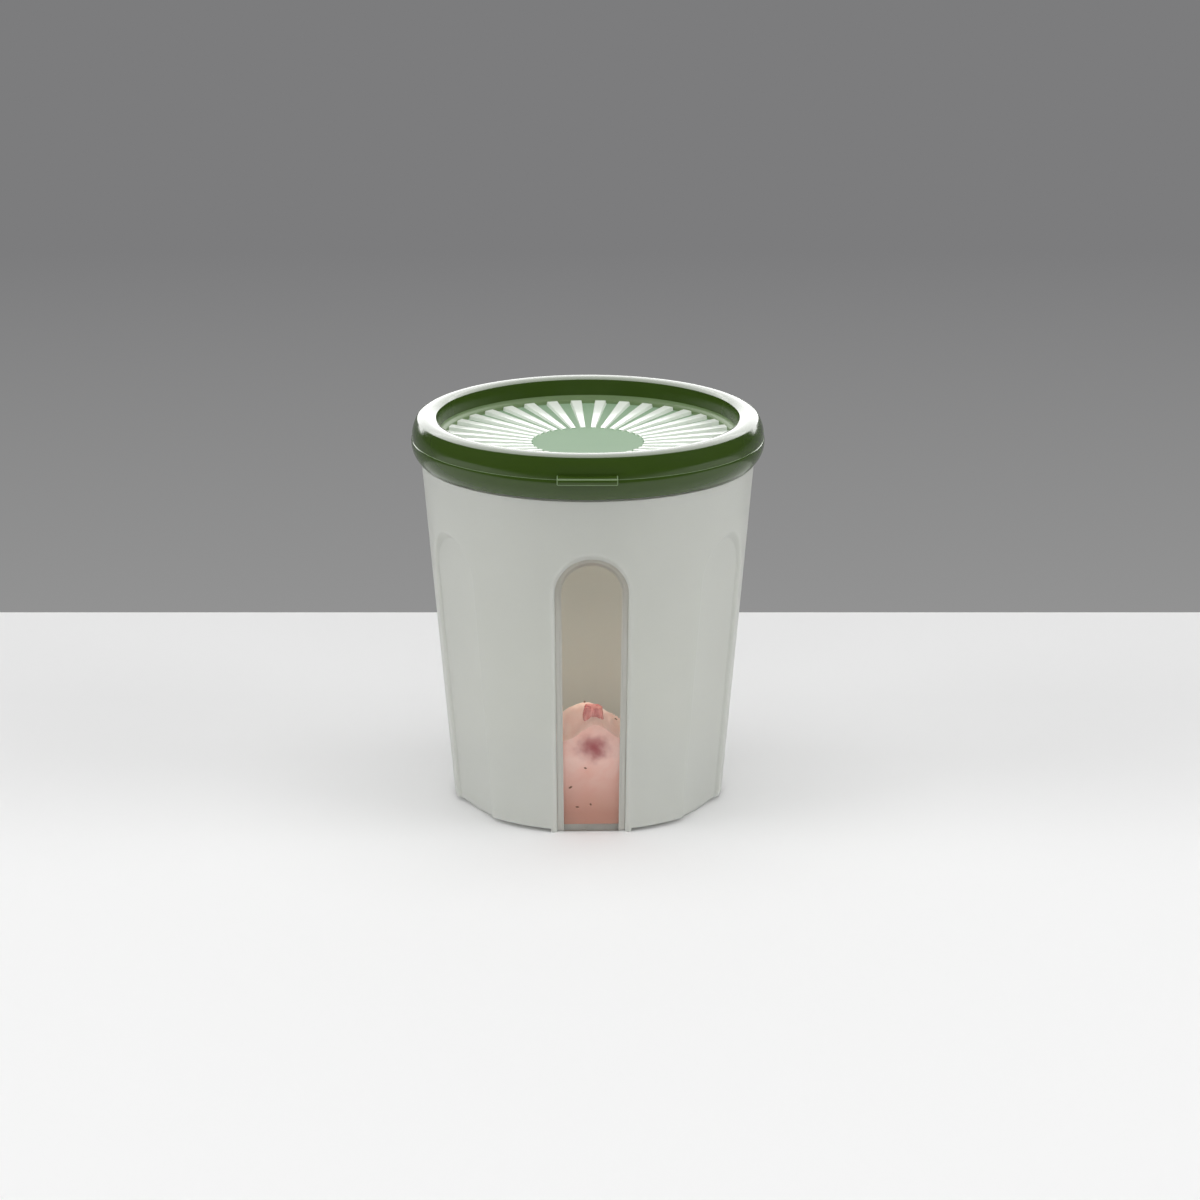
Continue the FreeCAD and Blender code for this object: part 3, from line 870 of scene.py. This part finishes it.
# ---------------------------------------------------------------------------
# The strawberry: two diced pieces of ripe fruit, one lying on the mound and one pressed in
# behind the window, cut faces wet and paler in the middle.
# ---------------------------------------------------------------------------
strawberry_flesh, flesh_tree, flesh_shader = new_material("cut strawberry flesh")
flesh_place = add(flesh_tree, "ShaderNodeTexCoord").outputs["Object"]
flesh_streaks = add(flesh_tree, "ShaderNodeMapping", {
    "Vector": flesh_place, "Scale": (1.0, 1.0, 0.35)})
flesh_noise = add(flesh_tree, "ShaderNodeTexNoise", {
    "Vector": flesh_streaks.outputs["Vector"], "Scale": 1 / (1.6 * MM), "Detail": 3.0,
    "Distortion": 0.5})
flesh_tone = add(flesh_tree, "ShaderNodeValToRGB", {"Fac": flesh_noise.outputs["Fac"]})
flesh_tone.color_ramp.elements[0].position = 0.3
flesh_tone.color_ramp.elements[0].color = colour("#b8343a")
flesh_tone.color_ramp.elements[1].position = 0.72
flesh_tone.color_ramp.elements[1].color = colour("#f6a79c")
flesh_relief = add(flesh_tree, "ShaderNodeBump", {
    "Height": flesh_noise.outputs["Fac"], "Strength": 0.5, "Distance": 0.25 * MM})
feed(flesh_tree, flesh_shader, {
    "Base Color": flesh_tone.outputs["Color"], "Normal": flesh_relief.outputs["Normal"],
    "Roughness": 0.25, "IOR": 1.36, "Subsurface Weight": 0.4,
    "Subsurface Radius": (1.0, 0.35, 0.3), "Subsurface Scale": 1.0 * MM})


def diced_piece(name, node, seed, lean):
    """A diced piece that fills its CAD node's box: an eased block, pulled uneven."""
    low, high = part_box(node)
    middle, half = (low + high) / 2, (high - low) / 2
    form = bmesh.new()
    bmesh.ops.create_cube(form, size=2.0)
    for v in form.verts:
        v.co.x *= 1 - lean * (v.co.z > 0) * (0.5 + 0.5 * v.co.y)
        v.co.y *= 1 - 0.25 * (v.co.z > 0)
    bmesh.ops.bevel(form, geom=form.edges, offset=0.45, segments=4, profile=0.6, affect="EDGES")
    bmesh.ops.subdivide_edges(form, edges=form.edges, cuts=3, use_grid_fill=True)
    bmesh.ops.triangulate(form, faces=form.faces)
    for v in form.verts:
        pull = noise.noise(v.co * 1.3 + Vector((seed, 0, 0))) * 0.16
        pull += noise.noise(v.co * 4.0 + Vector((0, seed, 0))) * 0.05
        v.co += v.co.normalized() * (pull - 0.12)
        v.co = Vector(middle[i] + v.co[i] * half[i] for i in range(3))
    bmesh.ops.recalc_face_normals(form, faces=form.faces)
    mesh = bpy.data.meshes.new(name)
    form.to_mesh(mesh)
    form.free()
    smooth(mesh, 60)
    place(name, mesh, strawberry_flesh, [node])


diced_piece("strawberry_on_top", "strawberry_top", 4.2, 0.3)
diced_piece("strawberry_at_window", "strawberry_front", 8.7, 0.2)

# ---------------------------------------------------------------------------
# The seeds: strawberry seeds stirred into the yogurt, a few of them against the window and
# the rest on the mounds.
# ---------------------------------------------------------------------------
seed_length = 1.1
seed_width = 0.6
seeds_at_window = [(-1.6, 17.7), (-5.3, 12.3), (-0.2, 7.5), (-3.5, 6.7)]
seeds_on_top = 16
seed_sunk = 0.15                   # how far behind the yogurt's face a seed's middle lies


def seed_points():
    """Where the seeds lie, half sunk in the yogurt."""
    pick = np.random.default_rng(11)
    points = []
    for x, z in seeds_at_window:
        points.append((x, -(window_inside(z) + fill_into_wall - seed_sunk), z))
    points = [tuple(point) for point in turned(np.array(points), window_turn)]
    for _ in range(seeds_on_top):
        x = pick.uniform(-9.0, 9.0)
        y = pick.uniform(3.0, 22.0) - window_inside(fill_level)
        points.append((x, y, fill_height(x, y) + stirred(x, y)))
    return points


def scatter_seeds(name, material):
    """A node tree that puts a seed, turned and sized at random, on each point of a mesh."""
    tree = bpy.data.node_groups.new(name, "GeometryNodeTree")
    socket = tree.interface.new_socket
    socket("Points", in_out="INPUT", socket_type="NodeSocketGeometry")
    length_in = socket("Length", in_out="INPUT", socket_type="NodeSocketFloat")
    width_in = socket("Width", in_out="INPUT", socket_type="NodeSocketFloat")
    random_in = socket("Random start", in_out="INPUT", socket_type="NodeSocketInt")
    socket("Seeds", in_out="OUTPUT", socket_type="NodeSocketGeometry")
    start = add(tree, "NodeGroupInput")
    ball = add(tree, "GeometryNodeMeshUVSphere", {"Segments": 12, "Rings": 8, "Radius": 0.5})
    size = add(tree, "ShaderNodeCombineXYZ", {
        "X": start.outputs["Width"], "Y": start.outputs["Width"], "Z": start.outputs["Length"]})
    form = add(tree, "GeometryNodeTransform", {
        "Geometry": ball.outputs["Mesh"], "Scale": size.outputs["Vector"]})
    turn = add(tree, "FunctionNodeRandomValue", {
        1: (math.pi, math.pi, math.pi), "Seed": start.outputs["Random start"]},
        data_type="FLOAT_VECTOR")
    grown = add(tree, "FunctionNodeRandomValue", {
        2: 0.75, 3: 1.1, "Seed": start.outputs["Random start"]}, data_type="FLOAT")
    copies = add(tree, "GeometryNodeInstanceOnPoints", {
        "Points": start.outputs["Points"], "Instance": form.outputs["Geometry"],
        "Rotation": turn.outputs[0], "Scale": grown.outputs[1]})
    real = add(tree, "GeometryNodeRealizeInstances", {"Geometry": copies.outputs["Instances"]})
    last = add(tree, "GeometryNodeSetMaterial", {
        "Geometry": real.outputs["Geometry"], "Material": material})
    add(tree, "NodeGroupOutput", {"Seeds": last.outputs["Geometry"]})
    return tree, {
        length_in.identifier: seed_length * MM, width_in.identifier: seed_width * MM,
        random_in.identifier: 5}


seed_skin, skin_tree, skin_shader = new_material("strawberry seed")
skin_place = add(skin_tree, "ShaderNodeTexCoord").outputs["Object"]
skin_spots = add(skin_tree, "ShaderNodeTexNoise", {
    "Vector": skin_place, "Scale": 1 / (0.5 * MM), "Detail": 2.0})
skin_tone = add(skin_tree, "ShaderNodeMix", {
    "Factor": skin_spots.outputs["Fac"], "A": colour("#6e4a34"), "B": colour("#9a6a48")},
    data_type="RGBA")
feed(skin_tree, skin_shader, {"Base Color": skin_tone.outputs["Result"], "Roughness": 0.45})
seed_tree, seed_values = scatter_seeds("seeds in the yogurt", seed_skin)
seed_spots = bpy.data.meshes.new("seed_spots")
seed_spots.from_pydata([Vector(point) * MM for point in seed_points()], [], [])
seed_mesh = from_nodes("seeds", seed_spots, seed_tree, seed_values)
seed_mesh.shade_smooth()
seeds = bpy.data.objects.new("strawberry_seeds", seed_mesh)
bpy.context.scene.collection.objects.link(seeds)
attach(seeds, "root")

# ---------------------------------------------------------------------------
# The set: a white table with a mid-grey wall beyond it, two bright panels behind that the
# lid's gloss picks up, soft light from above, the sides and in front, two small lamps inside
# the cup for the light that its walls let in, and the camera.
# ---------------------------------------------------------------------------
table_back = 0.164
table_mesh = bpy.data.meshes.new("table")
table_mesh.from_pydata([(-4, -4, 0), (4, -4, 0), (4, 4, 0), (-4, 4, 0)], [], [(0, 1, 2, 3)])
table_top = bpy.data.objects.new("table", table_mesh)
bpy.context.scene.collection.objects.link(table_top)
table_paint, paint_tree, paint_shader = new_material("matt white table and grey wall")
paint_place = add(paint_tree, "ShaderNodeTexCoord").outputs["Object"]
paint_way = add(paint_tree, "ShaderNodeSeparateXYZ", {"Vector": paint_place})
table_front = add(paint_tree, "ShaderNodeMapRange", {
    "Value": paint_way.outputs["Y"], "From Min": -0.36, "From Max": -0.46})
# In front of the cup the table is painted whiter: painted light that fills in the cup's shadow there.
table_painted_light_near = add(paint_tree, "ShaderNodeMapRange", {
    "Value": paint_way.outputs["Y"], "From Min": 0.08, "From Max": -0.04})
table_white_with_painted_light = add(paint_tree, "ShaderNodeMix", {
    "Factor": table_painted_light_near.outputs["Result"], "A": colour("#ebebeb"), "B": colour("#f6f6f6")},
    data_type="RGBA")
table_colour = add(paint_tree, "ShaderNodeMix", {
    "Factor": table_front.outputs["Result"], "A": table_white_with_painted_light.outputs["Result"],
    "B": colour("#2c2c2c")}, data_type="RGBA")
feed(paint_tree, paint_shader, {
    "Base Color": table_colour.outputs["Result"], "Roughness": 0.9, "Specular IOR Level": 0.1})
wall_tone = add(paint_tree, "ShaderNodeMapRange", {
    "Value": paint_way.outputs["Y"], "From Min": table_back, "From Max": 0.7})
wall_colour = add(paint_tree, "ShaderNodeMix", {
    "Factor": wall_tone.outputs["Result"], "A": colour("#929292"), "B": colour("#7c7c7d")},
    data_type="RGBA")
wall_glow = add(paint_tree, "ShaderNodeEmission", {"Color": wall_colour.outputs["Result"]})
seen = add(paint_tree, "ShaderNodeLightPath")
behind = add(paint_tree, "ShaderNodeMath", {
    0: paint_way.outputs["Y"], 1: table_back}, operation="GREATER_THAN")
direct = add(paint_tree, "ShaderNodeMath", {
    0: seen.outputs["Is Camera Ray"], 1: seen.outputs["Is Glossy Ray"]}, operation="MAXIMUM")
through = add(paint_tree, "ShaderNodeMath", {
    0: direct.outputs["Value"], 1: seen.outputs["Is Transmission Ray"]}, operation="MAXIMUM")
wall_share = add(paint_tree, "ShaderNodeMath", {
    0: behind.outputs["Value"], 1: through.outputs["Value"]}, operation="MULTIPLY")
paint_mix = add(paint_tree, "ShaderNodeMixShader", {
    0: wall_share.outputs["Value"], 1: paint_shader.outputs["BSDF"],
    2: wall_glow.outputs["Emission"]})
feed(paint_tree, paint_tree.nodes["Material Output"], {"Surface": paint_mix.outputs["Shader"]})
table_mesh.materials.append(table_paint)

world = bpy.data.worlds.new("room")
bpy.context.scene.world = world
world.use_nodes = True
room = world.node_tree.nodes["Background"]
room_seen = add(world.node_tree, "ShaderNodeLightPath")
mirrored = add(world.node_tree, "ShaderNodeMath", {
    0: room_seen.outputs["Is Glossy Ray"], 1: room_seen.outputs["Is Transmission Ray"]},
    operation="SUBTRACT")
room_level = add(world.node_tree, "ShaderNodeMapRange", {
    "Value": mirrored.outputs["Value"], "To Min": 0.32, "To Max": 0.06})
feed(world.node_tree, room, {
    "Color": colour("#ffffff"), "Strength": room_level.outputs["Result"]})


def softbox(name, spot, aim, size, power):
    lamp = bpy.data.lights.new(name, "AREA")
    lamp.shape = "RECTANGLE"
    lamp.size, lamp.size_y = size
    lamp.energy = power
    box = bpy.data.objects.new(name, lamp)
    bpy.context.scene.collection.objects.link(box)
    box.location = spot
    box.rotation_euler = (Vector(aim) - Vector(spot)).to_track_quat("-Z", "Y").to_euler()
    box.visible_camera = False
    return box


lid_middle = (0.0, 0.0, lid_top * MM)
for name, spot, size, power in (
        ("back_panel", (0.0, 1.5, 0.55), (2.8, 0.85), 30.0),
        ("high_panel", (0.0, 0.95, 1.35), (3.2, 1.3), 62.0)):
    softbox(name, spot, lid_middle, size, power).visible_diffuse = False
for name, spot, size, power in (
        ("top_light", (0.0, -0.1, 1.6), (1.6, 1.6), 11.5),
        ("left_light", (-1.3, -0.3, 0.7), (1.0, 1.0), 6.5),
        ("right_light", (1.3, -0.3, 0.7), (1.0, 1.0), 6.5),
        ("front_light", (0.0, -1.5, 0.45), (1.2, 0.5), 4.5)):
    softbox(name, spot, (0.0, 0.0, 0.05), size, power).visible_glossy = False

for name, spot, power in (
        ("light_through_the_walls", (0.0, -0.019, 0.048), 0.017),
        ("light_through_the_back", (0.0, 0.004, 0.022), 0.009)):
    glow = bpy.data.lights.new(name, "POINT")
    glow.energy = power
    glow.shadow_soft_size = 0.012
    glow.color = (0.98, 0.96, 0.86)
    glow_spot = bpy.data.objects.new(name, glow)
    bpy.context.scene.collection.objects.link(glow_spot)
    glow_spot.location = spot
    glow_spot.visible_camera = False
    glow_spot.visible_transmission = False
    glow_spot.visible_glossy = False

scene = bpy.context.scene
scene.view_settings.view_transform = "Standard"
camera_data = bpy.data.cameras.new("camera")
camera_data.sensor_width = 36.0
camera_data.lens = 124.6
camera = bpy.data.objects.new("camera", camera_data)
scene.collection.objects.link(camera)
camera.location = (0.00315, -1.05, 0.3654)
camera.rotation_euler = (math.radians(73.419), 0.0, 0.0)
camera_data.clip_start = 0.01
scene.camera = camera
